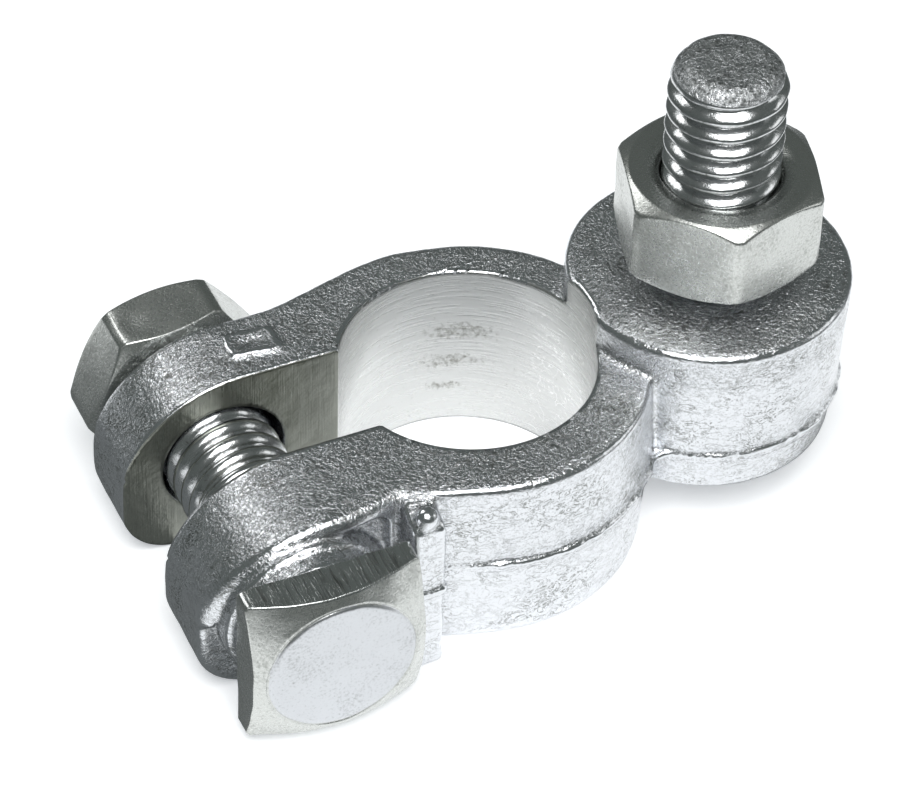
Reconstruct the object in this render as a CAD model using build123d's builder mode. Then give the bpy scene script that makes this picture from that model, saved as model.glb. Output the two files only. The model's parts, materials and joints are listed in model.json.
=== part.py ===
"""Battery terminal clamp: a split ring that grips a battery post, closed by a square-headed
pinch bolt through two ears, with a boss that carries an upright stud and nut for the cable lug.

Frame: millimetres, +Z up along the post. The origin lies on the post's axis, in the plane that
the ring and the ears stand on. +X points from the post to the stud; the slot opens along -X.
"""
from build123d import *
from math import radians, sqrt, tan
import os

# ---- driving dimensions -------------------------------------------------------------------
# Fasteners, all with a coarse 8 mm thread
THREAD_R = 4.0                # major radius of both bolts
THREAD_DEPTH = 0.7
THREAD_PITCH = 1.41
CREST_W = 0.4                 # width of a thread's flat crest
THREAD_PLAY = 0.05            # radial clearance between a shank and its nut
HEX_FLATS = 12.8              # across flats of the stud's nut and of its head
HEX_FACE_R = 6.15             # circle that the corner chamfer leaves on an end face
CORNER_SLOPE = 30             # degrees, the slope of that chamfer
NUT_COUNTERSINK = 0.35        # lead-in at each end of a nut's bore
END_ROUND = 1.5               # rounded free end of a bolt

# Post ring
BORE_R = 8.65
BORE_CHAMFER = 0.3            # at the top only
BODY_H = 13.75                # height of ring and ears
RING_Y = -0.5                 # the forged outside is off the bore's centre, towards the head
RING_R_TOP = 12.1             # outer radius under the rounded top edge
RING_R_PART = 12.4            # at the parting line, the widest place of the draft
RING_R_LOW = 12.0
TOP_ROUND = 1.0
LOW_ROUND = 0.3

# Parting line of the two die halves, and the flash that was trimmed off along it
FLASH_H = 0.8                 # centred at mid-height of ring and ears
FLASH_OUT = 0.35              # how far the trimmed flash stands proud
FLASH_WEB = 3.0               # radius of the flash in the corners between ring and boss

# Stud boss
STUD_X = 18.1                 # stud axis
BOSS_X = 17.85                # the forged boss is a little nearer the ring
BOSS_R_TOP = 9.8
BOSS_R_PART = 9.65
BOSS_R_LOW = 9.1
BOSS_TOP_Z = 16.3
BOSS_LOW_Z = 3.5
BOSS_TOP_ROUND = 0.7
BOSS_LOW_ROUND = 1.0
STUD_HOLE_PLAY = 0.15         # radial
POCKET_PLAY = 0.1             # on each side of the stud bolt's head
POCKET_SINK = 0.3             # the head ends this far inside the boss

# Ears, with their ends rounded about the pinch bolt and meeting in a point at the parting line
SLOT_W = 7.7
SLOT_Y = 0.2                  # middle of the slot
BOLT_X = -16.1                # pinch bolt axis, at mid-height
BOLT_HOLE_R = 4.4
BOLT_HOLE_SHIFT = 0.15        # the hole's centre lies this far towards the post
EAR_END_X = -23.3
EAR_BROW_X = -14.5            # where the upper end arc leaves the flat top
EAR_FOOT_X = -16.6            # where the lower end arc leaves the flat underside
FAR_FACE_Y = 10.7             # outer face of the far ear, where the pinch nut bears
EAR_ROUND = 0.9               # upper outer edge of the far ear, and of the necks
EAR_LOW_ROUND = 0.6           # lower outer edges
NECK_FILLET = 4.0             # inside corners between ring and ears
NUT_SEAT_PLAY = 0.2           # flat cut clear of flash around the pinch nut

# Outer side of the near ear: a channel under a lip, ended by a rib beside the square head
FLOOR_Y = -9.7
LIP_Y = -11.0                 # crest of the lip
LIP_END_Y = -9.95             # it falls back to this at both ends
LIP_H = 1.15                  # height of the lip
COLLAR_R = 6.1                # round bearing collar under the head
COLLAR_STEP_Y = -11.6         # where the collar narrows
COLLAR_NECK_R = 5.8
COLLAR_Y = -13.1              # face that the head bears on
RIB_PLAY = 0.6                # gap between the head and the rib
RIB_W = 2.3
RIB_Y = -12.9
RIB_TOP_Z = 13.2
RIB_ROUND = 0.7

# Pinch bolt and nut
HEAD_FLATS = 12.0             # square head
HEAD_H = 3.5
HEAD_FACE_R = 5.15
PINCH_NUT_FLATS = 12.4
PINCH_NUT_FACE_R = 6.1
PINCH_NUT_H = 4.5             # a thin nut
PINCH_END_OUT = 1.4           # bolt end beyond the nut
PINCH_NUT_TURN = 7            # degrees, a corner's angle from +X towards +Z

# Stud bolt and nut
STUD_HEAD_H = 5.3
STUD_TOP_Z = 33.4
STUD_NUT_H = 6.6
STUD_NUT_GAP = 1.7            # the nut waits this far above the boss
STUD_NUT_TURN = 13.35         # degrees, a corner's angle from +X towards +Y

# Plain raised pad on top of the far ear
PAD_X, PAD_Y = -12.8, 6.9
PAD_LENGTH, PAD_WIDTH, PAD_H = 3.6, 2.4, 0.3
PAD_TURN = -4

# ---- derived sizes ------------------------------------------------------------------------
BOLT_Z = BODY_H / 2
SLOT_NEAR_Y = SLOT_Y - SLOT_W / 2
PART_Z = (BODY_H + FLASH_H) / 2             # upper edge of the flash
FLASH_LOW_Z = PART_Z - FLASH_H
PINCH_LENGTH = FAR_FACE_Y + PINCH_NUT_H + PINCH_END_OUT - COLLAR_Y
STUD_NUT_Z = BOSS_TOP_Z + STUD_NUT_GAP
STUD_HEAD_Z = BOSS_LOW_Z + POCKET_SINK
POCKET_TOP_Z = STUD_HEAD_Z + STUD_HEAD_H
STUD_LENGTH = STUD_TOP_Z - POCKET_TOP_Z
RIB_X = BOLT_X + HEAD_FLATS / 2 + RIB_PLAY + RIB_W / 2
PINCH_NUT_CORNER_R = PINCH_NUT_FLATS / sqrt(3)
HEAD_CORNER_R = HEAD_FLATS / sqrt(2)
REACH = 60                    # longer than the whole clamp, for cuts that go right through

BOTTOM = (Align.CENTER, Align.CENTER, Align.MIN)
POST_PLANE = Plane.XZ                       # local x is X, local y is Z, extrusion runs to -Y
RING_PLANE = POST_PLANE.offset(-RING_Y)
BOSS_PLANE = Plane(origin=(BOSS_X, 0, 0), x_dir=(1, 0, 0), z_dir=(0, -1, 0))


def up_the_bolt(y):
    """The plane across the pinch bolt's axis at y, with its normal towards the bolt's free end."""
    return Plane(origin=(BOLT_X, y, BOLT_Z), x_dir=(1, 0, 0), z_dir=(0, 1, 0))


def down_the_bolt(y):
    """The same plane with its normal towards the bolt's head."""
    return Plane(origin=(BOLT_X, y, BOLT_Z), x_dir=(1, 0, 0), z_dir=(0, -1, 0))


def up_the_stud(z):
    """The plane across the stud's axis at z, with its normal along +Z."""
    return Plane(origin=(STUD_X, 0, z))


def along(base):
    """The plane that holds base's normal, for half sections that stand on base."""
    return Plane(base.origin, x_dir=base.x_dir, z_dir=-base.y_dir)


# ---- shared shapes ------------------------------------------------------------------------
def drafted_profile(radii, low_z, top_z, low_round, top_round):
    """Half section of a round blank that is widest at the parting line."""
    low_r, part_r, top_r = radii
    with BuildSketch() as section:
        with BuildLine():
            Polyline((0, low_z), (low_r, low_z), (part_r, FLASH_LOW_Z), (part_r, PART_Z),
                     (top_r, top_z), (0, top_z), close=True)
        make_face()
        fillet(section.vertices().group_by(Axis.Y)[0].sort_by(Axis.X)[-1], low_round)
        fillet(section.vertices().group_by(Axis.Y)[-1].sort_by(Axis.X)[-1], top_round)
    return section.sketch


def corner_cut(face_r, corner_r, height, both_ends=True):
    """Half section, on the axis, of the cone or double cone that takes a head's corners off."""
    drop = (corner_r - face_r) * tan(radians(CORNER_SLOPE))
    low_points = [(face_r, 0), (corner_r, drop)] if both_ends else [(corner_r, 0)]
    with BuildSketch() as section:
        with BuildLine():
            Polyline((0, 0), *low_points, (corner_r, height - drop), (face_r, height),
                     (0, height), close=True)
        make_face()
    return section.sketch


def hexagon_nut(base, flats, face_r, height, turn):
    """A hexagon nut standing on the plane base, chamfered at both ends, with a plain bore."""
    with BuildPart() as nut:
        with BuildSketch(base):
            RegularPolygon(flats / 2, 6, major_radius=False, rotation=turn)
        extrude(amount=height)
        with BuildSketch(along(base)):
            add(corner_cut(face_r, flats / sqrt(3), height))
        revolve(axis=Axis(base.origin, base.z_dir), mode=Mode.INTERSECT)
        with BuildSketch(base):
            Circle(THREAD_R + THREAD_PLAY)
        extrude(amount=height, mode=Mode.SUBTRACT)
        chamfer(nut.edges().filter_by(GeomType.CIRCLE).group_by(SortBy.RADIUS)[0], NUT_COUNTERSINK)
    return nut.part


def threaded_shank(base, plain, length):
    """A shank standing on the plane base, plain at first and then grooved once per pitch up
    to its rounded end. Each groove is a ring, which stands for a turn of the helix."""
    thread_end = length - END_ROUND - CREST_W
    turns = int((thread_end - plain) / THREAD_PITCH)
    side = [(THREAD_R, 0)]
    for turn in range(turns):
        groove_end = thread_end - (turns - 1 - turn) * THREAD_PITCH
        crest_end = groove_end - THREAD_PITCH + CREST_W
        root = (THREAD_R - THREAD_DEPTH, (crest_end + groove_end) / 2)
        side += [(THREAD_R, crest_end), root, (THREAD_R, groove_end)]
    with BuildPart() as shank:
        with BuildSketch(along(base)):
            with BuildLine():
                Polyline((0, 0), *side, (THREAD_R, length), (0, length), close=True)
            make_face()
        revolve(axis=Axis(base.origin, base.z_dir))
        free_end = shank.faces().sort_by(Axis(base.origin, base.z_dir))[-1]
        fillet(free_end.edges(), END_ROUND)
    return shank.part


# ---- clamp body: one forging, machined in the bore, the slot and the holes -----------------
with BuildSketch(POST_PLANE) as ear_side:
    # Side view of both ears, from the ring's axis to the pointed end.
    with BuildLine():
        foot = Line((0, 0), (EAR_FOOT_X, 0))
        lower = TangentArc(foot @ 1, (EAR_END_X, FLASH_LOW_Z), tangent=foot % 1)
        top = Line((0, BODY_H), (EAR_BROW_X, BODY_H))
        upper = TangentArc(top @ 1, (EAR_END_X, PART_Z), tangent=top % 1)
        Line(lower @ 1, upper @ 1)
        Line(foot @ 0, top @ 0)
    make_face()

with BuildSketch(POST_PLANE) as channel_side:
    # The same inside the near ear's lip.
    add(ear_side.sketch)
    offset(amount=-LIP_H)

with BuildPart() as ear_slab:
    # Both ears in one slab, down to the floor of the near ear's channel.
    with BuildSketch() as slab_plan:
        with Locations((0, RING_Y)):
            Circle(RING_R_TOP - TOP_ROUND / 2)
        with Locations((EAR_END_X, (FLOOR_Y + FAR_FACE_Y) / 2)):
            Rectangle(-EAR_END_X, FAR_FACE_Y - FLOOR_Y, align=(Align.MIN, Align.CENTER))
        inside_corners = slab_plan.vertices().sort_by(Axis.X)[2:4]
        fillet(inside_corners, NECK_FILLET)
    extrude(amount=BODY_H)
    with BuildSketch(POST_PLANE):
        add(ear_side.sketch)
        Rectangle(REACH, BODY_H, align=(Align.MIN, Align.MIN))
    extrude(amount=REACH, both=True, mode=Mode.INTERSECT)
    far_face = ear_slab.faces().filter_by(Plane.XZ).sort_by(Axis.Y)[-1]
    fillet(far_face.edges().filter_by(lambda edge: edge.center().Z > PART_Z), EAR_ROUND)
    side_faces = ear_slab.faces().filter_by(Plane.XZ).sort_by(Axis.Y)
    low_edges = (side_faces[0].edges() + side_faces[-1].edges()).filter_by(
        lambda edge: edge.center().Z < FLASH_LOW_Z and edge.center().X < BOLT_X / 2)
    fillet(low_edges, EAR_LOW_ROUND)

with BuildPart() as near_rim:
    # Lip along the upper outer edge of the near ear, highest beside the bolt.
    with BuildSketch(POST_PLANE):
        add(ear_side.sketch)
        add(channel_side.sketch, mode=Mode.SUBTRACT)
    extrude(amount=-LIP_Y)
    with BuildSketch():
        with BuildLine():
            lip_other_end = 2 * BOLT_X - EAR_END_X
            crest = ThreePointArc((EAR_END_X, LIP_END_Y), (BOLT_X, LIP_Y), (lip_other_end, LIP_END_Y))
            Polyline(crest @ 1, (0, LIP_END_Y), (0, 0), (EAR_END_X, 0), crest @ 0)
        make_face()
    extrude(amount=BODY_H, mode=Mode.INTERSECT)
    split(bisect_by=Plane.XY.offset(PART_Z), keep=Keep.TOP)

with BuildPart() as flash:
    # Thin plate at the parting line, standing a little proud of ring and boss.
    with BuildSketch(Plane.XY.offset(FLASH_LOW_Z)) as flash_plan:
        with Locations((0, RING_Y)):
            Circle(RING_R_PART + FLASH_OUT)
        with Locations((BOSS_X, 0)):
            Circle(BOSS_R_PART + FLASH_OUT)
        fillet(flash_plan.vertices(), FLASH_WEB)
    extrude(amount=FLASH_H)

with BuildPart() as clamp_body:
    with BuildSketch(RING_PLANE):
        add(drafted_profile((RING_R_LOW, RING_R_PART, RING_R_TOP), 0, BODY_H, LOW_ROUND, TOP_ROUND))
    revolve(axis=Axis(RING_PLANE.origin, (0, 0, 1)))
    with BuildSketch(BOSS_PLANE):
        add(drafted_profile((BOSS_R_LOW, BOSS_R_PART, BOSS_R_TOP), BOSS_LOW_Z, BOSS_TOP_Z,
                            BOSS_LOW_ROUND, BOSS_TOP_ROUND))
    revolve(axis=Axis(BOSS_PLANE.origin, (0, 0, 1)))
    add(ear_slab.part)
    add(near_rim.part)

    # Round collar that the square head bears on, with a step.
    with BuildSketch(down_the_bolt(FLOOR_Y)):
        Circle(COLLAR_R)
    extrude(amount=FLOOR_Y - COLLAR_STEP_Y)
    with BuildSketch(down_the_bolt(COLLAR_STEP_Y)):
        Circle(COLLAR_NECK_R)
    extrude(amount=COLLAR_STEP_Y - COLLAR_Y)

    # Stop rib beside the head.
    with BuildSketch() as rib_plan:
        with Locations((RIB_X, RIB_Y)):
            Rectangle(RIB_W, -RIB_Y + SLOT_NEAR_Y, align=(Align.CENTER, Align.MIN))
        fillet(rib_plan.vertices().group_by(Axis.Y)[0], RIB_ROUND)
    extrude(amount=RIB_TOP_Z)
    add(flash.part)

    # Raised pad on the far ear.
    with BuildSketch(Plane.XY.offset(BODY_H)):
        with Locations((PAD_X, PAD_Y)):
            Rectangle(PAD_LENGTH, PAD_WIDTH, rotation=PAD_TURN)
    extrude(amount=PAD_H)

    # Seat for the pinch nut.
    with BuildSketch(up_the_bolt(FAR_FACE_Y)):
        Circle(PINCH_NUT_CORNER_R + NUT_SEAT_PLAY)
    extrude(amount=REACH, mode=Mode.SUBTRACT)

    # Bore for the post, with a chamfered mouth.
    with BuildSketch():
        Circle(BORE_R)
    extrude(amount=REACH, mode=Mode.SUBTRACT)
    with Locations((0, 0, BODY_H - BORE_CHAMFER)):
        Cone(BORE_R, BORE_R + BORE_CHAMFER, BORE_CHAMFER, align=BOTTOM, mode=Mode.SUBTRACT)

    # Slot that lets the ring close.
    with BuildSketch():
        with Locations((0, SLOT_Y)):
            Rectangle(REACH, SLOT_W, align=(Align.MAX, Align.CENTER))
    extrude(amount=REACH, mode=Mode.SUBTRACT)

    # Hole for the pinch bolt.
    with BuildSketch(POST_PLANE):
        with Locations((BOLT_X + BOLT_HOLE_SHIFT, BOLT_Z)):
            Circle(BOLT_HOLE_R)
    extrude(amount=REACH, both=True, mode=Mode.SUBTRACT)

    # Hole for the stud, and the hexagonal pocket that keeps its head from turning.
    with BuildSketch():
        with Locations((STUD_X, 0)):
            Circle(THREAD_R + STUD_HOLE_PLAY)
    extrude(amount=REACH, mode=Mode.SUBTRACT)
    with BuildSketch():
        with Locations((STUD_X, 0)):
            RegularPolygon(HEX_FLATS / 2 + POCKET_PLAY, 6, major_radius=False)
    extrude(amount=POCKET_TOP_Z, mode=Mode.SUBTRACT)

# ---- pinch bolt: square head, shank through both ears --------------------------------------
with BuildPart() as pinch_bolt:
    with BuildSketch(down_the_bolt(COLLAR_Y)):
        Rectangle(HEAD_FLATS, HEAD_FLATS)
    extrude(amount=HEAD_H)
    with BuildSketch(along(down_the_bolt(COLLAR_Y))):
        add(corner_cut(HEAD_FACE_R, HEAD_CORNER_R, HEAD_H, both_ends=False))
    revolve(axis=Axis((BOLT_X, 0, BOLT_Z), (0, 1, 0)), mode=Mode.INTERSECT)
    add(threaded_shank(up_the_bolt(COLLAR_Y), FLOOR_Y - COLLAR_Y, PINCH_LENGTH))

# ---- stud bolt: hexagonal head held in the boss, shank standing up -------------------------
with BuildPart() as stud_bolt:
    with BuildSketch(up_the_stud(STUD_HEAD_Z)):
        RegularPolygon(HEX_FLATS / 2, 6, major_radius=False)
    extrude(amount=STUD_HEAD_H)
    add(threaded_shank(up_the_stud(POCKET_TOP_Z), BOSS_TOP_Z - POCKET_TOP_Z - THREAD_PITCH,
                       STUD_LENGTH))

# ---- write every piece ---------------------------------------------------------------------
pieces = {
    "clamp_body": clamp_body.part,
    "pinch_bolt": pinch_bolt.part,
    "pinch_nut": hexagon_nut(up_the_bolt(FAR_FACE_Y), PINCH_NUT_FLATS, PINCH_NUT_FACE_R,
                             PINCH_NUT_H, -PINCH_NUT_TURN),
    "stud_bolt": stud_bolt.part,
    "stud_nut": hexagon_nut(up_the_stud(STUD_NUT_Z), HEX_FLATS, HEX_FACE_R,
                            STUD_NUT_H, STUD_NUT_TURN),
}
os.makedirs("parts", exist_ok=True)
for name, piece in pieces.items():
    piece.label = name
    export_step(piece, f"parts/{name}.step")
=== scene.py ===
# %% [markdown]
# A battery terminal clamp. The clamp is one hot forging of brass, tin plated: a split
# ring that grips the battery's post, two ears with a pinch bolt through them, and a
# boss that carries an upright stud for the cable. The bolt, the stud and both nuts are
# zinc-plated steel.
#
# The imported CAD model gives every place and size. The cells below make the real
# surfaces on top of it: a forging isn't a set of sharp cylinders, it has drafted walls,
# soft corners, a trimmed seam and dents, and a thread is a helix.

# %% Load the frame
import json
import math
from functools import reduce
from itertools import product

import bpy
import numpy as np
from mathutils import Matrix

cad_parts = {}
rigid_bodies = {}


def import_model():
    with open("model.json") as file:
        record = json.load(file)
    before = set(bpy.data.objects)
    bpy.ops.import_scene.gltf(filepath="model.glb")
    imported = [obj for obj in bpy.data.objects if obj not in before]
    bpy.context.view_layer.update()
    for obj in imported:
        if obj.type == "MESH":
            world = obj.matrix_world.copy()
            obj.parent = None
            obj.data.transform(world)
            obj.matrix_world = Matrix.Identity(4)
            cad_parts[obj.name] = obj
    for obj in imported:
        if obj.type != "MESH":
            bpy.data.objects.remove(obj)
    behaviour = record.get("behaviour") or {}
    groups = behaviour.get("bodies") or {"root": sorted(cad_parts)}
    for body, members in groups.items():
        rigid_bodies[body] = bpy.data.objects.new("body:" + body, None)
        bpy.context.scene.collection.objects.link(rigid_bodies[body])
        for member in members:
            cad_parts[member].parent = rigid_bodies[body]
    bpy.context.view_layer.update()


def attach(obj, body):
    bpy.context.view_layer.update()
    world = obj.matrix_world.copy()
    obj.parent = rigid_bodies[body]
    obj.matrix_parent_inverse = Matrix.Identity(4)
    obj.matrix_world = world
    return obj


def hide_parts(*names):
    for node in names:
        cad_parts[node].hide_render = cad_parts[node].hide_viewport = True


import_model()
MM = 0.001

# %% [markdown]
# The camera stands to the left of the head of the pinch bolt and looks down at about 44
# degrees through a long lens, as for a catalogue picture. It could be aimed with a
# Track To constraint. Plain numbers are used, so that the view is the same everywhere.

# %% Camera
camera_data = bpy.data.cameras.new("camera")
camera = bpy.data.objects.new("camera", camera_data)
bpy.context.collection.objects.link(camera)
bpy.context.scene.camera = camera
camera.location = (-0.085408, -0.175286, 0.194477)
camera.rotation_euler = np.radians((46.3607, -1.7370, -24.6455))
camera_data.sensor_width = 36
camera_data.lens = 159.56
camera_data.shift_x = -0.03595
camera_data.shift_y = 0.0224
camera_data.clip_start = 0.01
print("camera lens", camera_data.lens, "mm")

# %% [markdown]
# Bright metal has no look of its own, it shows what is around it. So the studio is what
# decides here: a white floor makes the walls white, a large lamp above the camera lights
# the rounded front edges, a second one behind on the left draws the pale bands on the ear
# ends, and a dim ceiling keeps the top faces dark. Dark sheets that the camera doesn't see
# paint reflection and shade into the metal, and keep some walls from going white as well.
# They lie on the floor, where only their reflection is seen: to the left of the ears and all
# round further out, as a painted reflection of a darker room, and under the boss, as painted
# shade where a real floor is in the shade.

# %% Floor and light
SPAN = 3.0
floor_mesh = bpy.data.meshes.new("floor")
floor_mesh.from_pydata([(-SPAN, -SPAN, 0), (SPAN, -SPAN, 0), (SPAN, SPAN, 0), (-SPAN, SPAN, 0)],
                       [], [(0, 1, 2, 3)])
floor = bpy.data.objects.new("floor", floor_mesh)
bpy.context.collection.objects.link(floor)

# The painted reflection and shade, by their corners in mm: a sheet to the left of the ears,
# a disc of painted shade under the boss, and four sheets that frame the part, each a quarter
# turn on from the last.
PAINTED_SHADE_Z, FRAME_IN, FRAME_OUT = 0.1, 75, 3000
turn = np.radians(np.arange(0, 360, 7.5))
left_sheet = [(-150, -14), (-19.5, -14), (-19.5, 26), (-150, 90)]
# Painted shade: a dark disc under the boss stands for the shade that a real floor has there.
painted_shade_disc = np.stack([20.5 + 10.5 * np.cos(turn), 1.5 + 10.5 * np.sin(turn)], 1)
front_sheet = np.array([(-FRAME_OUT, -FRAME_OUT), (FRAME_OUT, -FRAME_OUT),
                        (FRAME_IN, -FRAME_IN), (-FRAME_IN, -FRAME_IN)])
quarters = [((1, 0), (0, 1)), ((0, 1), (-1, 0)), ((-1, 0), (0, -1)), ((0, -1), (1, 0))]
sheets = [left_sheet, painted_shade_disc] + [front_sheet @ np.array(quarter) for quarter in quarters]
corners = np.concatenate(sheets)
first = np.cumsum([0] + [len(sheet) for sheet in sheets])
# Painted reflection and shade: one mesh of dark sheets, seen neither by the camera nor by diffuse
# light, and casting no shadow, so that it shows only in the metal.
painted_shade_mesh = bpy.data.meshes.new("black_paper")
painted_shade_mesh.from_pydata(np.column_stack([corners, np.full(len(corners), PAINTED_SHADE_Z)]) * MM, [],
                       [range(a, b) for a, b in zip(first[:-1], first[1:])])
painted_shade_sheets = bpy.data.objects.new("black_paper", painted_shade_mesh)
bpy.context.collection.objects.link(painted_shade_sheets)
painted_shade_sheets.visible_camera = False
painted_shade_sheets.visible_diffuse = False
painted_shade_sheets.visible_shadow = False


def soft_lamp(name, azimuth, elevation, distance, size, power, aim=(0, 0, 0.008)):
    """Square area lamp on a sphere about aim, turned to face it. Angles are in degrees;
    azimuth 0 is on the -Y side and 90 on the +X side."""
    a, e = math.radians(azimuth), math.radians(elevation)
    away = np.array((math.sin(a) * math.cos(e), -math.cos(a) * math.cos(e), math.sin(e)))
    lamp_data = bpy.data.lights.new(name, "AREA")
    lamp_data.size = size
    lamp_data.energy = power
    lamp = bpy.data.objects.new(name, lamp_data)
    bpy.context.collection.objects.link(lamp)
    lamp.location = np.array(aim) + away * distance
    lamp.rotation_euler = (math.radians(90 - elevation), 0, a)
    return lamp


soft_lamp("lamp_front", -20, 62, 0.55, 0.34, 2.6)
soft_lamp("lamp_back_left", -153, 43, 0.50, 0.17, 0.30)
soft_lamp("lamp_right", 70, 20, 0.55, 0.25, 0.25)

bpy.context.scene.view_settings.view_transform = "Standard"
world = bpy.data.worlds.new("studio")
bpy.context.scene.world = world
world.use_nodes = True
world.node_tree.nodes["Background"].inputs["Color"].default_value = (0.85, 0.95, 0.91, 1)
world.node_tree.nodes["Background"].inputs["Strength"].default_value = 0.14

# %% [markdown]
# A forging could be modelled with boxes and bevels, but its soft corners run into each
# other and its seam wanders. Here it is a field instead: for any point in space a formula
# says how far outside or inside the metal the point lies. Two fields are joined with a
# rounded inside corner, or made to meet in a rounded edge, by one line of numpy each.

# %% Fields: joining, meeting and unevenness
def meet(a, b, radius):
    """Inside both: the larger of two distances, with the edge between them rounded.
    Past the edge it is the length of the vector of both, less the radius."""
    return np.minimum(-radius, np.maximum(a, b)) + np.hypot(np.maximum(a + radius, 0),
                                                            np.maximum(b + radius, 0))


def join(a, b, radius):
    """Inside either: the smaller of two distances, with a fillet in the corner."""
    return -meet(-a, -b, radius)


def uneven(points, size, seed):
    """Smooth random field from -1 to 1: random values on a lattice size mm apart,
    blended between the eight nearest by the smoothstep of the distance to each."""
    lattice = np.random.default_rng(seed).uniform(-1, 1, (48, 48, 48))
    place = points / size
    low = np.floor(place).astype(int)
    part = place - low
    part = part * part * (3 - 2 * part)
    total = np.zeros(len(points))
    for corner in product((0, 1), repeat=3):
        weight = np.prod(np.where(corner, part, 1 - part), axis=1)
        total += weight * lattice[tuple((low + corner).T % 48)]
    return total


# %% [markdown]
# A field becomes a mesh by walking over a grid of small cubes. Each cube that the surface
# crosses gets one point, the mean of the places where its edges are cut, and each cut edge
# gets a face between its four cubes. The points are then slid onto the exact surface,
# along the field's slope. A metaball or a voxel remesh does much the same, but rounds
# every edge by half a cube.

# %% Skin of a field
def settle(distance, points, rounds, reach=0.01):
    """Newton steps: back along the slope by the distance over the slope's square. The
    slope is the field's change over a hair along each axis."""
    for _ in range(rounds):
        here = distance(points)
        slope = np.stack([distance(points + s) - here for s in np.eye(3) * reach], 1) / reach
        square = np.maximum((slope ** 2).sum(1), 0.25)
        points = points - np.clip(slope * (here / square)[:, None], -0.15, 0.15)
    return points


def relax(points, quads, rounds):
    """Even out a quad mesh: each point moves half way to the mean of its neighbours."""
    ends = np.concatenate([quads[:, [k, (k + 1) % 4]] for k in range(4)])
    ends = np.concatenate([ends, ends[:, ::-1]])
    count = np.bincount(ends[:, 0], minlength=len(points))
    for _ in range(rounds):
        mean = np.stack([np.bincount(ends[:, 0], points[ends[:, 1], k], len(points))
                         for k in range(3)], 1) / count[:, None]
        points = (points + mean) / 2
    return points


def skin_of(distance, low, high, cube):
    """Quad mesh of the surface where the field is 0, between corners low and high."""
    sides = [np.arange(a, b + cube, cube) for a, b in zip(low, high)]
    grid = np.stack(np.meshgrid(*sides, indexing="ij"), -1)
    value = np.concatenate([distance(slab.reshape(-1, 3)) for slab in grid]).reshape(grid.shape[:3])
    solid = value < 0
    cells = tuple(n - 1 for n in solid.shape)

    def corner(array, shift):
        return array[tuple(slice(s, s + n) for s, n in zip(shift, cells))]

    cuts = np.zeros(cells)
    place = np.zeros(cells + (3,))
    for axis in range(3):
        for shift in product((0, 1), repeat=3):
            if shift[axis]:
                continue
            end = tuple(s + (k == axis) for k, s in enumerate(shift))
            a, b = corner(value, shift), corner(value, end)
            cut = (a < 0) != (b < 0)
            share = np.where(cut, a / np.where(cut, a - b, 1), 0)
            cuts += cut
            place += cut[..., None] * np.array(shift)
            place[..., axis] += share
    used = cuts > 0
    number = np.full(cells, -1)
    number[used] = np.arange(used.sum())
    points = (np.argwhere(used) + place[used] / cuts[used][:, None]) * cube + np.array(low)

    quads = []
    for axis in range(3):
        one, two = [k for k in range(3) if k != axis]
        start = np.take(solid, range(cells[axis]), axis)
        stop = np.take(solid, range(1, solid.shape[axis]), axis)
        for inside, turn in ((start & ~stop, 1), (~start & stop, -1)):
            at = np.argwhere(inside)
            ring = []
            for back in ((1, 1), (0, 1), (0, 0), (1, 0)):
                cell = at.copy()
                cell[:, one] -= back[0]
                cell[:, two] -= back[1]
                ring.append(number[tuple(cell.T)])
            flip = turn * (-1 if axis == 1 else 1)
            quads.append(np.stack(ring[::flip], 1))
    quads = np.concatenate(quads)
    for _ in range(2):
        points = settle(distance, relax(points, quads, 1), 1)
    return settle(distance, points, 2), quads


# %% [markdown]
# The forging's own sizes, all in millimetres. Ring and boss taper away from the parting
# line, because a die half has to let go of them, and their flat tops fall off a little
# towards a crisp edge. The metal squeezed out between the die halves was trimmed, which
# leaves a rough bead with a low band under it.

# %% Ring, boss and ears as forged
BODY_TOP, PART_LINE, FLASH_LOW = 13.75, 7.275, 6.475
BOLT_X, BOLT_Z, STUD_X = -16.1, 6.875, 18.1
EAR_END, NEAR_FACE, FAR_FACE = -23.3, -9.7, 10.7
ARC_X, ARC_Z, ARC_R = -14.5, 4.532, 9.218
BOSS_TOP, BOSS_FOOT = 16.24, 3.5      # the nut seats on the top's high spots, at 16.3
RING_Y, BOSS_X = -0.5, 17.85          # the forged outsides lie a little off the machined holes


def drafted(z, heights, radii):
    """Radius of a tapering wall: straight lines between the radii at the heights."""
    return np.interp(z, heights, radii)


def crowned(wall, top, fall):
    """Flat top over a wall: in the last 0.9 mm the top falls off by a parabola, and a
    rounding of 0.3 mm joins it to the wall."""
    return meet(wall, top + fall * np.clip(1 + wall / 0.9, 0, 1.2) ** 2, 0.3)


def ear_outline(x, z):
    """Side view of the ears: distance outside the flat top and the arc that ends it."""
    return np.where(x < ARC_X, np.hypot(x - ARC_X, z - ARC_Z) - ARC_R, z - BODY_TOP)


def forged_ears(p):
    """Ring and ears: in plan a disc joined to a strip with fillets of 3 mm, cut off at top
    and bottom, and ended by a large arc above the parting line and a smaller one below
    it. The far side leans in near its top."""
    x, y, z = p.T
    ring = np.hypot(x, y - RING_Y) - drafted(z, (0, FLASH_LOW, PART_LINE, BODY_TOP),
                                             (11.9, 12.3, 12.45, 12.1))
    top = ear_outline(x, z)
    far = y - FAR_FACE + 0.85 * np.clip((top + 1.5) / 1.2, 0, 1)
    near = NEAR_FACE - y + 0.010 * np.abs(z - PART_LINE)
    strip = meet(np.maximum(far, near), x + 1, 0.1)
    body = crowned(join(ring, strip, 3.0), top, 0.20)
    return meet(body, meet(-z, EAR_END - x, 4.2), 0.45)


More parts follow.
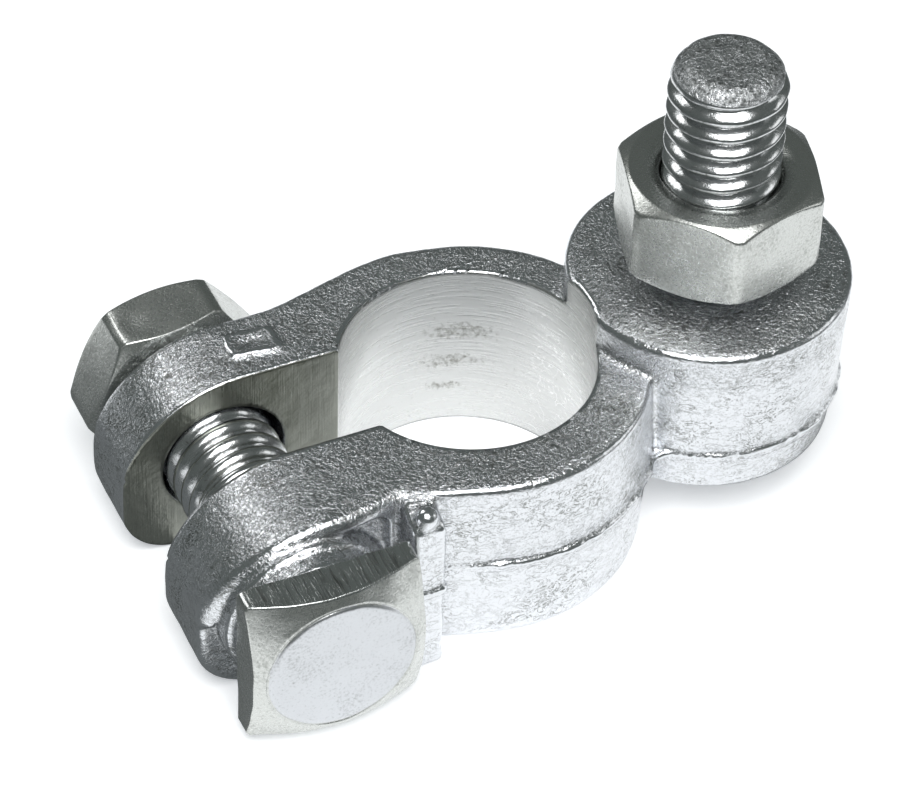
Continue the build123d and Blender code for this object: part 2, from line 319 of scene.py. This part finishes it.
def stud_boss(p):
    """Round boss: distance from its axis less the drafted radius, crowned on top and
    rounded underneath."""
    x, y, z = p.T
    wall = np.hypot(x - BOSS_X, y) - drafted(z, (3.5, FLASH_LOW, PART_LINE, 16.3),
                                             (9.05, 9.35, 9.5, 9.8))
    return meet(crowned(wall, z - BOSS_TOP, 0.25), BOSS_FOOT - z, 0.6)


def trimmed_flash(p):
    """At the parting line: a bead of 0.2 mm radius whose line wanders in and out, thick
    in places and gone in others, over a band that stands 0.15 mm proud."""
    x, y, z = p.T
    flat = p * (1, 1, 0.2)
    plan = join(np.hypot(x, y - RING_Y) - 12.5, np.hypot(x - BOSS_X, y) - 9.5, 1.6)
    ragged = plan + 0.10 * uneven(flat, 0.8, 5) + 0.07 * uneven(flat, 2.5, 6)
    level = z - PART_LINE + 0.12 + 0.14 * uneven(flat, 3.0, 7)
    bead = np.hypot(ragged - 0.07, level) - 0.20 - 0.07 * uneven(flat, 0.55, 8)
    band = meet(ragged - 0.08, np.abs(level + 0.35) - 0.35, 0.1)
    return meet(np.minimum(bead, band), -x - 9.5, 0.2)


def forged(p):
    body = join(forged_ears(p), stud_boss(p), 0.35)
    return join(body, trimmed_flash(p), 0.1)


# %% [markdown]
# The near ear has a channel for the square head: a lip that hangs over it, a round collar
# that the head bears on, and a rib that keeps the head from turning. The lip follows the
# ear's outline and is highest beside the bolt.

# %% Lip, collar and rib
def lip(p):
    """Inside the ear's outline but outside a recess 1.15 mm further in, above the parting
    line, out to a face bowed like a parabola, over which it rolls with 0.8 mm."""
    x, y, z = p.T
    outline = ear_outline(x, z)
    recess = meet(outline + 1.15, x + 10.2, 1.2) + 0.05 * uneven(p, 1.5, 11)
    bow = -11.0 + 1.05 * ((x - BOLT_X) / 7.2) ** 2 - y + 0.045 * uneven(p, 1.1, 12)
    band = meet(meet(outline, bow, 0.75), -recess, 0.2)
    return np.max([meet(band, 6.6 - z, 0.4), x + 8.0, y + 9.0], axis=0)


def collar(p):
    """Round seat about the bolt: distance from its axis less 5.9 mm, then less 5.7 mm,
    with a hammered side."""
    x, y, z = p.T
    radius = np.hypot(x - BOLT_X, z - BOLT_Z) + 0.08 * uneven(p, 0.8, 15)
    wide = meet(radius - 5.95, -11.6 - y, 0.15)
    neck = meet(radius - 5.65, -13.1 - y, 0.2)
    return np.maximum(np.minimum(wide, neck), y + 9)


def stop_rib(p):
    """Upright bar beside the head. Its top slopes up to the ear with a drop of metal at
    the front, and a seam crosses it at the parting line."""
    x, y, z = p.T
    bend = 0.13 * uneven(p, 1.7, 21)
    plan = meet(np.abs(x + 8.35) - 1.12 + bend, -12.9 - y + bend, 0.45)
    bar = meet(meet(plan, z - np.minimum(12.6 + 0.4 * (y + 12.9), 13.5), 0.5), 0.1 - z, 0.3)
    bead = np.linalg.norm(p - np.array((-8.4, -12.1, 13.1)), axis=1) - 0.75
    seam = meet(plan - 0.22, np.abs(z - 6.8 + 0.2 * uneven(p, 1.2, 22)) - 0.3, 0.12)
    return np.maximum(join(join(bar, bead, 0.2), seam, 0.1), y + 8)


def pad(p):
    """Low plain pad on the far ear, with a dip in its middle and worn edges."""
    x, y, z = p.T
    across = y - 6.9 + 0.07 * (x + 12.8)
    block = meet(np.abs(x + 12.8) - 1.8, np.abs(across) - 1.2, 0.25)
    dip = 0.22 * np.clip(1 - np.hypot((x + 12.8) / 1.5, across / 0.8), 0, 1)
    return np.maximum(meet(block + 0.14 * uneven(p, 0.6, 31), z - 14.03 + dip, 0.15), 13 - z)


# %% [markdown]
# The bore, the slot and the holes were machined after forging. So the unevenness of the
# forged skin is added before they are cut, and their faces stay true, with a thin broken
# edge where they meet the skin.

# %% The whole clamp body
BORE_R, SLOT_Y, SLOT_HALF = 8.65, 0.2, 3.85
BOLT_HOLE_R, STUD_HOLE_R, NUT_SEAT_R = 4.4, 4.15, 7.36
POCKET_HALF, POCKET_TOP = 6.5, 9.1


def layers(p):
    """The distances that the clamp lies inside of: the uneven forged skin, then bore,
    slot, bolt hole, stud hole, hexagonal pocket and nut seat. One row for each."""
    x, y, z = p.T
    skin = forged(p)
    for piece, fillet in ((lip, 0.2), (collar, 0.25), (stop_rib, 0.3), (pad, 0.12)):
        skin = join(skin, piece(p), fillet)
    skin = skin + 0.035 * uneven(p, 2.6, 41) + 0.018 * uneven(p, 0.8, 42)
    mouth = (np.clip(z - 13.67, 0, 0.08) * np.clip((14.0 - z) / 0.2, 0, 1)
             * np.clip(8.3 - x, 0, 1))
    post = BORE_R + mouth - np.hypot(x, y)
    slot = np.minimum(SLOT_HALF - np.abs(y - SLOT_Y), -x)
    bolt_hole = BOLT_HOLE_R - np.hypot(x - BOLT_X - 0.15, z - BOLT_Z)
    stud_hole = STUD_HOLE_R - np.hypot(x - STUD_X, y)
    hexagon = np.max([np.abs((x - STUD_X) * math.cos(t) + y * math.sin(t))
                      for t in np.radians((30, 90, 150))], axis=0)
    pocket = np.minimum(POCKET_HALF - hexagon, POCKET_TOP - z)
    nut_seat = np.minimum(NUT_SEAT_R - np.hypot(x - BOLT_X, z - BOLT_Z), y - FAR_FACE)
    return np.stack([skin, post, slot, bolt_hole, stud_hole, pocket, nut_seat])


def clamp_field(p):
    """Inside all layers, with a hair of rounding where two of them meet."""
    return reduce(lambda a, b: meet(a, b, 0.07), layers(p))


def onto_edges(points, reach):
    """Points near the edge between two layers are moved onto it: Newton steps of least
    length that bring both distances to the middle of the rounding."""
    value = layers(points)
    pair = np.argsort(-value, axis=0)[:2]
    picked = np.hypot(*np.take_along_axis(value, pair, 0)) < reach
    moved, pair = points[picked], pair[:, picked]
    for _ in range(3):
        here = np.take_along_axis(layers(moved), pair, 0)
        slope = np.stack([np.take_along_axis(layers(moved + s), pair, 0) - here
                          for s in np.eye(3) * 0.01], -1).transpose(1, 0, 2) / 0.01
        square = slope @ slope.transpose(0, 2, 1) + 0.01 * np.eye(2)
        share = np.linalg.solve(square, (-0.02 - here.T)[..., None])
        moved = moved + np.clip((slope.transpose(0, 2, 1) @ share)[..., 0], -0.1, 0.1)
    points = points.copy()
    points[picked] = moved
    return points


CUBE = 0.25
points, quads = skin_of(clamp_field, (-24.2, -13.8, -0.6), (29.0, 13.9, 17.0), CUBE)
points = onto_edges(points, 0.7 * CUBE)
points[:, 2] = np.maximum(points[:, 2], 0)
print("clamp body:", len(points), "points,", 2 * len(quads), "triangles")

# %% [markdown]
# A material can find the edges where plating shines most, but only if something tells it.
# The curvature of a quad mesh is easy: how far each point stands out of the mean of its
# neighbours, along its normal. It is stored as an attribute that the material reads.

# %% Putting points into a mesh
def piece_of(name, node, body, points, faces, materials, pick=None):
    """Mesh object from points in mm; it replaces a CAD node and rides on its body."""
    mesh = bpy.data.meshes.new(name)
    mesh.from_pydata((points * MM).tolist(), [], faces)
    mesh.shade_smooth()
    for material in materials:
        mesh.materials.append(material)
    if pick is not None:
        mesh.polygons.foreach_set("material_index", pick.astype(np.int32))
    piece = bpy.data.objects.new(name, mesh)
    bpy.context.collection.objects.link(piece)
    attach(piece, body)
    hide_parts(node)
    print(name, len(mesh.vertices), "points")
    return piece


def mark_edges(piece, points, faces, reach):
    """Attribute edge: distance of each point from its neighbours' mean, over reach mm,
    positive where the surface is convex."""
    ends = np.concatenate([faces[:, [k, (k + 1) % 4]] for k in range(4)])
    count = np.bincount(ends[:, 0], minlength=len(points))[:, None]
    hill = points.copy()
    for _ in range(3):
        hill = np.stack([np.bincount(ends[:, 0], hill[ends[:, 1], k], len(points))
                         for k in range(3)], 1) / count
    normals = np.empty(3 * len(points), np.float32)
    piece.data.vertices.foreach_get("normal", normals)
    stand = ((points - hill) * normals.reshape(-1, 3)).sum(1) / reach
    layer = piece.data.attributes.new("edge", "FLOAT", "POINT")
    layer.data.foreach_set("value", np.clip(stand, -1, 1).astype(np.float32))


# %% [markdown]
# Now the finishes. Every one is built from the same few kinds of node, so one small
# function adds a node with its settings and links.

# %% Colours and nodes
def colour(hex_code):
    """sRGB hex to linear: below 0.04045 over 12.92, above it a power of 2.4."""
    srgb = np.array([int(hex_code[k:k + 2], 16) for k in (1, 3, 5)]) / 255
    linear = np.where(srgb <= 0.04045, srgb / 12.92, ((srgb + 0.055) / 1.055) ** 2.4)
    return (*linear.tolist(), 1.0)


def add(tree, kind, inputs=None, give=None, **settings):
    """Add one node, make its settings, and set or link its inputs, by name or number.
    Gives back the output called give, or else the first that is in use."""
    node = tree.nodes.new("ShaderNode" + kind)
    for key, value in settings.items():
        setattr(node, key, value)
    for key, value in (inputs or {}).items():
        fitting = [s.enabled and s.name == key for s in node.inputs]
        socket = key if isinstance(key, int) else fitting.index(True)
        if isinstance(value, bpy.types.NodeSocket):
            tree.links.new(value, node.inputs[socket])
        else:
            node.inputs[socket].default_value = value
    return node.outputs[give] if give else next(s for s in node.outputs if s.enabled)


def finish_of(name):
    """New metal finish; gives its material, tree, shader and object coordinates."""
    material = bpy.data.materials.new(name)
    material.use_nodes = True
    tree = material.node_tree
    shader = tree.nodes["Principled BSDF"]
    shader.inputs["Metallic"].default_value = 1.0
    return material, tree, shader.inputs, add(tree, "TexCoord", give="Object")


def cells(size):
    """Scale of a noise, in cells per metre, whose cells are size mm wide."""
    return 1 / (size * MM)


# %% [markdown]
# Tin plating on a forged skin: soft bright metal with a crinkle about a quarter of a
# millimetre wide, thin grey creases that wander over it, and dull patches where the die
# scale was. The creases are the places where a smooth noise passes 0.5, which draws thin
# lines as on a map. Edges are rubbed bright, and the struck tops are the coarsest.

# %% Finish: tin-plated forging
forging, tree, shader, where = finish_of("tin_plated_forging")
crinkle = add(tree, "TexNoise", {"Vector": where, "Scale": cells(0.24), "Detail": 3.0,
                                 "Roughness": 0.65, "Distortion": 0.5})
lying = add(tree, "Mapping", {"Vector": where, "Scale": (0.55, 0.55, 1.0)})
contour = add(tree, "TexNoise", {"Vector": lying, "Scale": cells(0.62), "Detail": 4.0,
                                 "Roughness": 0.62, "Distortion": 0.9})
off_line = add(tree, "Math", {0: add(tree, "Math", {0: contour, 1: 0.5}, operation="SUBTRACT")},
               operation="ABSOLUTE")
crease = add(tree, "MapRange", {"Value": off_line, "From Min": 0.006, "From Max": 0.034,
                                "To Min": 1.0, "To Max": 0.0}, interpolation_type="SMOOTHSTEP")
patch = add(tree, "TexNoise", {"Vector": where, "Scale": cells(3.4), "Detail": 4.0,
                               "Roughness": 0.6})
dull = add(tree, "MapRange", {"Value": patch, "From Min": 0.42, "From Max": 0.64},
           interpolation_type="SMOOTHSTEP")
pitted = add(tree, "MapRange", {"Value": crinkle, "From Min": 0.52, "From Max": 0.74},
             interpolation_type="SMOOTHSTEP")
line_share = add(tree, "MapRange", {"Value": dull, "To Min": 0.30, "To Max": 0.85})
lines = add(tree, "Math", {0: crease, 1: line_share}, operation="MULTIPLY")
spot_share = add(tree, "MapRange", {"Value": dull, "To Min": 0.25, "To Max": 0.8})
spots = add(tree, "Math", {0: pitted, 1: spot_share}, operation="MULTIPLY")
soiled = add(tree, "Math", {0: lines, 1: spots}, operation="MAXIMUM")
edge = add(tree, "Attribute", give="Fac", attribute_name="edge")
rubbed = add(tree, "MapRange", {"Value": edge, "From Min": 0.10, "From Max": 0.50,
                                "To Min": 1.0, "To Max": 0.15}, interpolation_type="SMOOTHSTEP")
dirt = add(tree, "Math", {0: soiled, 1: rubbed}, operation="MULTIPLY")
metal = add(tree, "Mix", {"Factor": dirt, "A": colour("#DCDEE1"), "B": colour("#696B65")},
            data_type="RGBA")
tree.links.new(metal, shader["Base Color"])
satin = add(tree, "MapRange", {"Value": dirt, "To Min": 0.19, "To Max": 0.42})
tree.links.new(satin, shader["Roughness"])
low = add(tree, "Bump", {"Height": contour, "Strength": 1.0, "Distance": 0.06 * MM})
height = add(tree, "SeparateXYZ", {"Vector": where}, give="Z")
struck = add(tree, "MapRange", {"Value": height, "From Min": 12.8 * MM, "From Max": 13.6 * MM,
                                "To Min": 0.55, "To Max": 1.0})
rough_top = add(tree, "Math", {0: struck, 1: rubbed}, operation="MULTIPLY")
fine = add(tree, "Bump", {"Height": crinkle, "Strength": rough_top, "Distance": 0.115 * MM,
                          "Normal": low})
tree.links.new(fine, shader["Normal"])
print(forging.name, len(tree.nodes), "nodes")

# %% [markdown]
# The bore was turned: a single-point tool leaves fine rings around it, so this noise
# changes every sixth of a millimetre of height but hardly round the ring. The post has
# rubbed three grey scuffs into it on the far side, and left a few white scratches.

# %% Finish: turned bore
bore_finish, tree, shader, where = finish_of("turned_bore")
round_it = add(tree, "Mapping", {"Vector": where, "Scale": (0.05, 0.05, 1.0)})
rings = add(tree, "TexNoise", {"Vector": round_it, "Scale": cells(0.16), "Detail": 2.0,
                               "Roughness": 0.5})
grit = add(tree, "TexNoise", {"Vector": where, "Scale": cells(0.35), "Detail": 4.0,
                              "Roughness": 0.7})
worn_places = []
for centre, half in (((3.2, 8.0, 8.3), (3.5, 3.0, 1.05)), ((2.6, 8.2, 5.6), (3.3, 3.0, 0.85)),
                     ((2.2, 8.3, 3.2), (1.8, 3.0, 0.45))):
    seen = add(tree, "Mapping", {"Vector": where, "Location": tuple(c * MM for c in centre),
                                 "Scale": tuple(h * MM for h in half)}, vector_type="TEXTURE")
    reach = add(tree, "VectorMath", {0: seen}, give="Value", operation="LENGTH")
    worn_places.append(add(tree, "MapRange", {"Value": reach, "From Min": 0.3, "From Max": 1.2,
                                              "To Min": 0.22, "To Max": 0.0},
                           interpolation_type="SMOOTHSTEP"))
place = reduce(lambda a, b: add(tree, "Math", {0: a, 1: b}, operation="MAXIMUM"), worn_places)
scuff = add(tree, "MapRange", {"Value": add(tree, "Math", {0: place, 1: grit}), "From Min": 0.58,
                               "From Max": 0.92}, interpolation_type="SMOOTHSTEP")
scraped = add(tree, "Mapping", {"Vector": where, "Rotation": (0.4, 0.9, 0.5),
                                "Scale": (0.25, 1.0, 1.0)})
hairs = add(tree, "TexNoise", {"Vector": scraped, "Scale": cells(1.1), "Detail": 2.0,
                               "Distortion": 0.6})
off_hair = add(tree, "Math", {0: add(tree, "Math", {0: hairs, 1: 0.5}, operation="SUBTRACT")},
               operation="ABSOLUTE")
bright_side = add(tree, "MapRange", {"Value": add(tree, "SeparateXYZ", {"Vector": where}, give="X"),
                                     "From Min": 6.5 * MM, "From Max": 8.2 * MM})
hair = add(tree, "MapRange", {"Value": off_hair, "From Min": 0.002, "From Max": 0.012,
                              "To Min": 0.8, "To Max": 0.0}, interpolation_type="SMOOTHSTEP")
scratch = add(tree, "Math", {0: hair, 1: bright_side}, operation="MULTIPLY")
metal = add(tree, "Mix", {"Factor": scuff, "A": colour("#CDCECD"), "B": colour("#91918C")},
            data_type="RGBA")
metal = add(tree, "Mix", {"Factor": scratch, "A": metal, "B": colour("#F6F6F6")}, data_type="RGBA")
tree.links.new(metal, shader["Base Color"])
turned = add(tree, "MapRange", {"Value": rings, "From Min": 0.3, "From Max": 0.7,
                                "To Min": 0.24, "To Max": 0.34})
tree.links.new(turned, shader["Roughness"])
tree.links.new(add(tree, "Bump", {"Height": rings, "Strength": 0.6, "Distance": 0.04 * MM}),
               shader["Normal"])

# %% [markdown]
# The slot was milled with a disc, which leaves upright scratches; its tin is thinner and
# looks a little olive.

# %% Finish: milled slot
slot_finish, tree, shader, where = finish_of("milled_slot")
upright = add(tree, "Mapping", {"Vector": where, "Scale": (1.0, 1.0, 0.035)})
strokes = add(tree, "TexNoise", {"Vector": upright, "Scale": cells(0.14), "Detail": 2.0})
tone = add(tree, "TexNoise", {"Vector": where, "Scale": cells(2.2), "Detail": 4.0,
                              "Roughness": 0.6})
metal = add(tree, "Mix", {"Factor": tone, "A": colour("#B9BBB2"), "B": colour("#8F9188")},
            data_type="RGBA")
tree.links.new(metal, shader["Base Color"])
milled = add(tree, "MapRange", {"Value": strokes, "From Min": 0.3, "From Max": 0.7,
                                "To Min": 0.26, "To Max": 0.46})
tree.links.new(milled, shader["Roughness"])
broad = add(tree, "Bump", {"Height": tone, "Strength": 1.0, "Distance": 0.15 * MM})
tree.links.new(add(tree, "Bump", {"Height": strokes, "Strength": 0.5, "Distance": 0.04 * MM,
                                  "Normal": broad}), shader["Normal"])

# %% [markdown]
# Which finish a face gets follows from where it lies: on the bore's cylinder, on one of
# the slot's two planes, or anywhere else.

# %% Clamp body
middle = points[quads].mean(1)
on_bore = np.abs(np.hypot(middle[:, 0], middle[:, 1]) - BORE_R) < 0.04
on_slot = (middle[:, 0] < -6) & (np.abs(np.abs(middle[:, 1] - SLOT_Y) - SLOT_HALF) < 0.04)
clamp_body = piece_of("clamp_body_forged", "clamp_body", "clamp", points,
                      quads.tolist(), [forging, bore_finish, slot_finish],
                      np.where(on_bore, 1, np.where(on_slot, 2, 0)))
mark_edges(clamp_body, points, quads, 0.12)

# %% [markdown]
# Bolts, stud and nuts are turned or pressed about an axis, so each is a surface of two
# parameters: the angle about the axis, and the way along a profile. A hexagon is only a
# radius that changes with the angle; a thread is one that changes with angle and height.

# %% Surfaces about an axis
def skin_grid(rows, loop):
    """Faces of a grid of points whose columns close round the axis. With loop the rows
    close too; without it the first and last row are closed by a point in their middle."""
    count, columns = rows.shape[:2]
    number = np.arange(count * columns).reshape(count, columns)
    low, high = (number, np.roll(number, -1, 0)) if loop else (number[:-1], number[1:])
    quads = np.stack([low, np.roll(low, -1, 1), np.roll(high, -1, 1), high], -1).reshape(-1, 4)
    points, faces = rows.reshape(-1, 3), quads.tolist()
    if not loop:
        points = np.concatenate([points, rows[:1].mean(1), rows[-1:].mean(1)])
        first, last = number[0], number[-1]
        fans = [(np.roll(first, -1), first, np.full(columns, len(points) - 2)),
                (last, np.roll(last, -1), np.full(columns, len(points) - 1))]
        faces += [face for fan in fans for face in np.stack(fan, 1).tolist()]
    return points, faces


def along_profile(corners, steps, soften, loop=False):
    """Radius and height on straight lines between the profile's corners, with the corners
    rounded by averaging each point with both neighbours, soften times."""
    corners = corners + corners[:1] if loop else corners
    ends = np.array([np.broadcast_arrays(*c) for c in corners], float)
    share = [np.arange(n)[:, None, None] / n for n in steps]
    rows = np.concatenate([a + s * (b - a) for a, b, s in zip(ends[:-1], ends[1:], share)]
                          + ([] if loop else [ends[-1:]]))
    for _ in range(soften):
        mean = (np.roll(rows, 1, 0) + 2 * rows + np.roll(rows, -1, 0)) / 4
        rows = mean if loop else np.concatenate([rows[:1], mean[1:-1], rows[-1:]])
    return rows[:, 0], rows[:, 1]


def flats(sides, across, cap, turn, columns):
    """Angles about the axis and the radius at each: half the width across flats over the
    cosine of the angle from the flat's middle, but at most cap, where corners are cut."""
    half = 180 / sides
    band = half - math.degrees(math.acos(across / 2 / cap))
    flat = np.linspace(-half + band + 0.5, half - band - 0.5, columns)
    corner = np.linspace(half - band + 0.5, half + band - 0.5, 5)
    sector = np.concatenate([flat, corner])
    away = np.concatenate([sector + half * (2 * k + 1) for k in range(sides)])
    from_flat = (away % (2 * half)) - half
    radius = np.minimum(across / 2 / np.cos(np.radians(from_flat)), cap)
    return np.radians(away + turn), radius


def about(axis, angle, radius, height):
    """Points at radius and height about an axis: upright through the stud, or along the
    pinch bolt, away from its head or towards it."""
    a, b = radius * np.cos(angle), radius * np.sin(angle)
    if axis == "stud":
        return np.stack([STUD_X + a, b, height], -1)
    if axis == "bolt":
        return np.stack([BOLT_X + a, height, BOLT_Z - b], -1)
    return np.stack([BOLT_X + a, -height, BOLT_Z + b], -1)


def worn_by(points, size, depth, seed):
    """Push points about by three smooth random fields, depth mm at most."""
    return points + depth * np.stack([uneven(points, size, seed + k) for k in range(3)], 1)


# %% [markdown]
# Bright zinc plating on steel: smoother than the tin, with an even grain. The threads are
# the smoothest, the end of the stud was sheared off and is coarse, and the top of the
# square head carries the strokes of the shear.

# %% Finish: bright zinc
def zinc(name, bright, dark, grain, stained, rough, depth, stretch=(1, 1, 1)):
    """Zinc-plated steel with grain mm cells. Its noise turns bright into dark between the
    two values of stained and roughens it from rough[0] to rough[1]."""
    material, tree, shader, where = finish_of(name)
    drawn = add(tree, "Mapping", {"Vector": where, "Scale": stretch})
    grit = add(tree, "TexNoise", {"Vector": drawn, "Scale": cells(grain), "Detail": 4.0,
                                  "Roughness": 0.62, "Distortion": 0.3})
    broad = add(tree, "TexNoise", {"Vector": where, "Scale": cells(2.6), "Detail": 3.0})
    drift = add(tree, "MapRange", {"Value": broad, "From Min": 0.3, "From Max": 0.7,
                                   "To Min": -0.08, "To Max": 0.08})
    both = add(tree, "Math", {0: grit, 1: drift})
    stain = add(tree, "MapRange", {"Value": both, "From Min": stained[0], "From Max": stained[1]},
                interpolation_type="SMOOTHSTEP")
    metal = add(tree, "Mix", {"Factor": stain, "A": colour(bright), "B": colour(dark)},
                data_type="RGBA")
    tree.links.new(metal, shader["Base Color"])
    tree.links.new(add(tree, "MapRange", {"Value": stain, "To Min": rough[0], "To Max": rough[1]}),
                   shader["Roughness"])
    tree.links.new(add(tree, "Bump", {"Height": grit, "Strength": 1.0, "Distance": depth * MM}),
                   shader["Normal"])
    return material


nut_finish = zinc("zinc_plated_nut", "#C9CBC8", "#A4A6A2", 0.20, (0.44, 0.80),
                  (0.27, 0.42), 0.018)
thread_finish = zinc("rolled_zinc_thread", "#CDCFD0", "#7E807E", 0.30, (0.50, 0.80),
                     (0.18, 0.34), 0.014)
sheared_finish = zinc("sheared_zinc_end", "#D6D8DA", "#6F7271", 0.26, (0.42, 0.66),
                      (0.25, 0.50), 0.150)
disc_finish = zinc("pressed_zinc_disc", "#CACCCF", "#A0A2A3", 0.18, (0.46, 0.86),
                   (0.30, 0.44), 0.014)
stroke_finish = zinc("zinc_with_shear_strokes", "#D0D3D2", "#6A6D6B", 0.16, (0.45, 0.70),
                     (0.20, 0.42), 0.030, (1.0, 0.07, 0.07))

# %% [markdown]
# A nut's profile runs once round its section: out over one face, down the cone that
# takes its corners off, along the flat, and back through the bore.

# %% Nuts
CONE = math.tan(math.radians(30))


def nut(name, node, body, axis, across, cap, turn, low, height, face_r, seed):
    """Hexagonal nut from its profile, its corners cut to a narrow band."""
    angle, radius = flats(6, across, cap, turn, 20)
    face = np.minimum(face_r, radius)
    drop = np.maximum(radius - face_r, 0) * CONE
    bore, mouth = 4.06, 5.0
    corners = [(bore, 0.35), (mouth, 0.0), (face, 0.0), (radius, drop), (radius, height - drop),
               (face, height), (mouth, height), (bore, height - 0.35)]
    corners = [(r + 0 * angle, h + 0 * angle) for r, h in corners]
    r, h = along_profile(corners, (5, 14, 10, 32, 10, 14, 5, 24), 2, loop=True)
    points, faces = skin_grid(about(axis, angle, r, low + h), loop=True)
    return piece_of(name, node, body, worn_by(points, 1.6, 0.03, seed), faces,
                    [nut_finish])


nut("stud_nut_pressed", "stud_nut", "stud_nut", "stud", 12.8, 7.22, 13.35, 18.03, 6.57,
    6.15, 61)
nut("pinch_nut_pressed", "pinch_nut", "pinch_nut", "bolt", 12.4, 7.0, -7, FAR_FACE, 4.5,
    6.1, 64)

# %% [markdown]
# The threads were rolled, so their crests and roots are round. The radius rises and falls
# once per pitch of height and once per turn of angle, which makes a right-hand helix.

# %% Stud and pinch bolt
PITCH, CREST_R = 1.41, 4.0


def thread(angle, height, root_r, power):
    """Root plus the depth times a power of the sine of the way from root to root: a power
    below 1 makes the crests broad and the roots narrow."""
    part = (height / PITCH - angle / (2 * math.pi)) % 1
    return root_r + (CREST_R - root_r) * np.sin(math.pi * part) ** power


def rod(start, end, shoulder, flat_r, root_r, power):
    """Threaded rod: the thread up to the shoulder, a quarter of an ellipse over it, and a
    flat end. Gives radius and height over rows and columns."""
    angle = np.radians(np.arange(0, 360, 360 / 108))
    straight = np.arange(start, end - shoulder, 0.1)
    arc = np.radians(np.linspace(0, 90, 20))
    rim = np.linspace(flat_r, 0.12, 14)[1:]
    height = np.concatenate([straight, end - shoulder + shoulder * np.sin(arc), 0 * rim + end])
    cap = np.concatenate([0 * straight + 9, flat_r + (CREST_R - flat_r) * np.cos(arc), rim])
    radius = np.minimum(thread(angle, height[:, None], root_r, power), cap[:, None])
    return angle, radius, height[:, None] + 0 * angle


STUD_TIP, SHEARED_Z, HEAD_FOOT, HEAD_CAP = 33.4, 32.6, 3.8, 7.3
angle, radius, height = rod(9.2, STUD_TIP, 2.2, 2.5, 3.22, 1.3)
points, faces = skin_grid(about("stud", angle, radius, height), loop=False)
pick = np.array([points[f].mean(0)[2] > SHEARED_Z for f in faces])
stud_angle, stud_radius = flats(6, 12.8, HEAD_CAP, 0, 8)
r, h = along_profile([(0.1 + 0 * stud_angle, HEAD_FOOT), (stud_radius, HEAD_FOOT),
                      (stud_radius, POCKET_TOP), (0.1 + 0 * stud_angle, POCKET_TOP)],
                     (12, 10, 12), 1)
head_points, head_faces = skin_grid(about("stud", stud_angle, r, h), loop=False)
faces += [[k + len(points) for k in f] for f in head_faces]
stud_points = np.concatenate([worn_by(points, 0.9, 0.03, 71), head_points])
pick = np.concatenate([pick, np.zeros(len(head_faces), bool)])
piece_of("stud_bolt_threaded", "stud_bolt", "clamp", stud_points, faces,
         [thread_finish, sheared_finish], pick)

# %% [markdown]
# The square head was cropped from bar: a round flat pressed on its end, a cone that takes
# the corners off, and strokes of the shear on its upper side.

# %% Pinch bolt
HEAD_BACK, HEAD_FRONT, DISC_R, BOLT_TIP = 13.1, 16.6, 5.15, 16.6
angle, radius, height = rod(-13.3, BOLT_TIP, 1.2, 3.0, 3.38, 0.7)
points, faces = skin_grid(about("bolt", angle, radius, height), loop=False)
head_angle, head_radius = flats(4, 12.0, 8.3, 45, 30)
drop = (head_radius - DISC_R) * CONE
corners = [(0.1, HEAD_BACK), (head_radius - 0.3, HEAD_BACK), (head_radius, 13.3),
           (head_radius, HEAD_FRONT - drop), (5.30, 16.50), (5.17, 16.36),
           (5.05, HEAD_FRONT), (0.1, HEAD_FRONT)]
corners = [(a + 0 * head_angle, b + 0 * head_angle) for a, b in corners]
r, h = along_profile(corners, (12, 3, 22, 24, 2, 2, 24), 1)
head_points, head_faces = skin_grid(about("head", head_angle, r, h), loop=False)
head_points = worn_by(head_points, 1.3, 0.05, 81)
middle = np.array([head_points[f].mean(0) for f in head_faces])
from_axis = np.hypot(middle[:, 0] - BOLT_X, middle[:, 2] - BOLT_Z)
on_disc = (middle[:, 1] < 0.15 - HEAD_FRONT) & (from_axis < DISC_R)
on_top = middle[:, 2] > BOLT_Z + 5.85
pick = np.concatenate([np.zeros(len(faces), int), np.where(on_disc, 2, np.where(on_top, 3, 1))])
faces += [[k + len(points) for k in f] for f in head_faces]
piece_of("pinch_bolt_threaded", "pinch_bolt", "pinch_bolt",
         np.concatenate([points, head_points]), faces,
         [thread_finish, nut_finish, disc_finish, stroke_finish], pick)

# %% [markdown]
# The floor is plain pale card. It glows a little, so that it stays white up to the edge
# of the picture however far the lamps reach.

# %% Floor finish
card, tree, shader, where = finish_of("pale_card")
fibre = add(tree, "TexNoise", {"Vector": where, "Scale": cells(1.2)})
pale = add(tree, "Mix", {"Factor": fibre, "A": colour("#F4F4F4"), "B": colour("#F8F8F8")},
           data_type="RGBA")
tree.links.new(pale, shader["Base Color"])
shader["Metallic"].default_value = 0.0
shader["Roughness"].default_value = 0.9
shader["Emission Color"].default_value = (0.93, 0.96, 1.0, 1)
shader["Emission Strength"].default_value = 0.42
floor_mesh.materials.append(card)

# Painted reflection and shade: the sheets are dull, dark to the middle grey that the ear ends show,
# and glow a little.
painted_shade_finish, tree, shader, where = finish_of("black_paper")
fibre = add(tree, "TexNoise", {"Vector": where, "Scale": cells(1.5)})
painted_shade_grey = add(tree, "Mix", {"Factor": fibre, "A": colour("#3A3C3C"), "B": colour("#434545")},
                 data_type="RGBA")
tree.links.new(painted_shade_grey, shader["Base Color"])
shader["Metallic"].default_value = 0.0
shader["Roughness"].default_value = 0.9
shader["Emission Color"].default_value = (0.90, 0.98, 1.0, 1)
shader["Emission Strength"].default_value = 0.12
painted_shade_mesh.materials.append(painted_shade_finish)
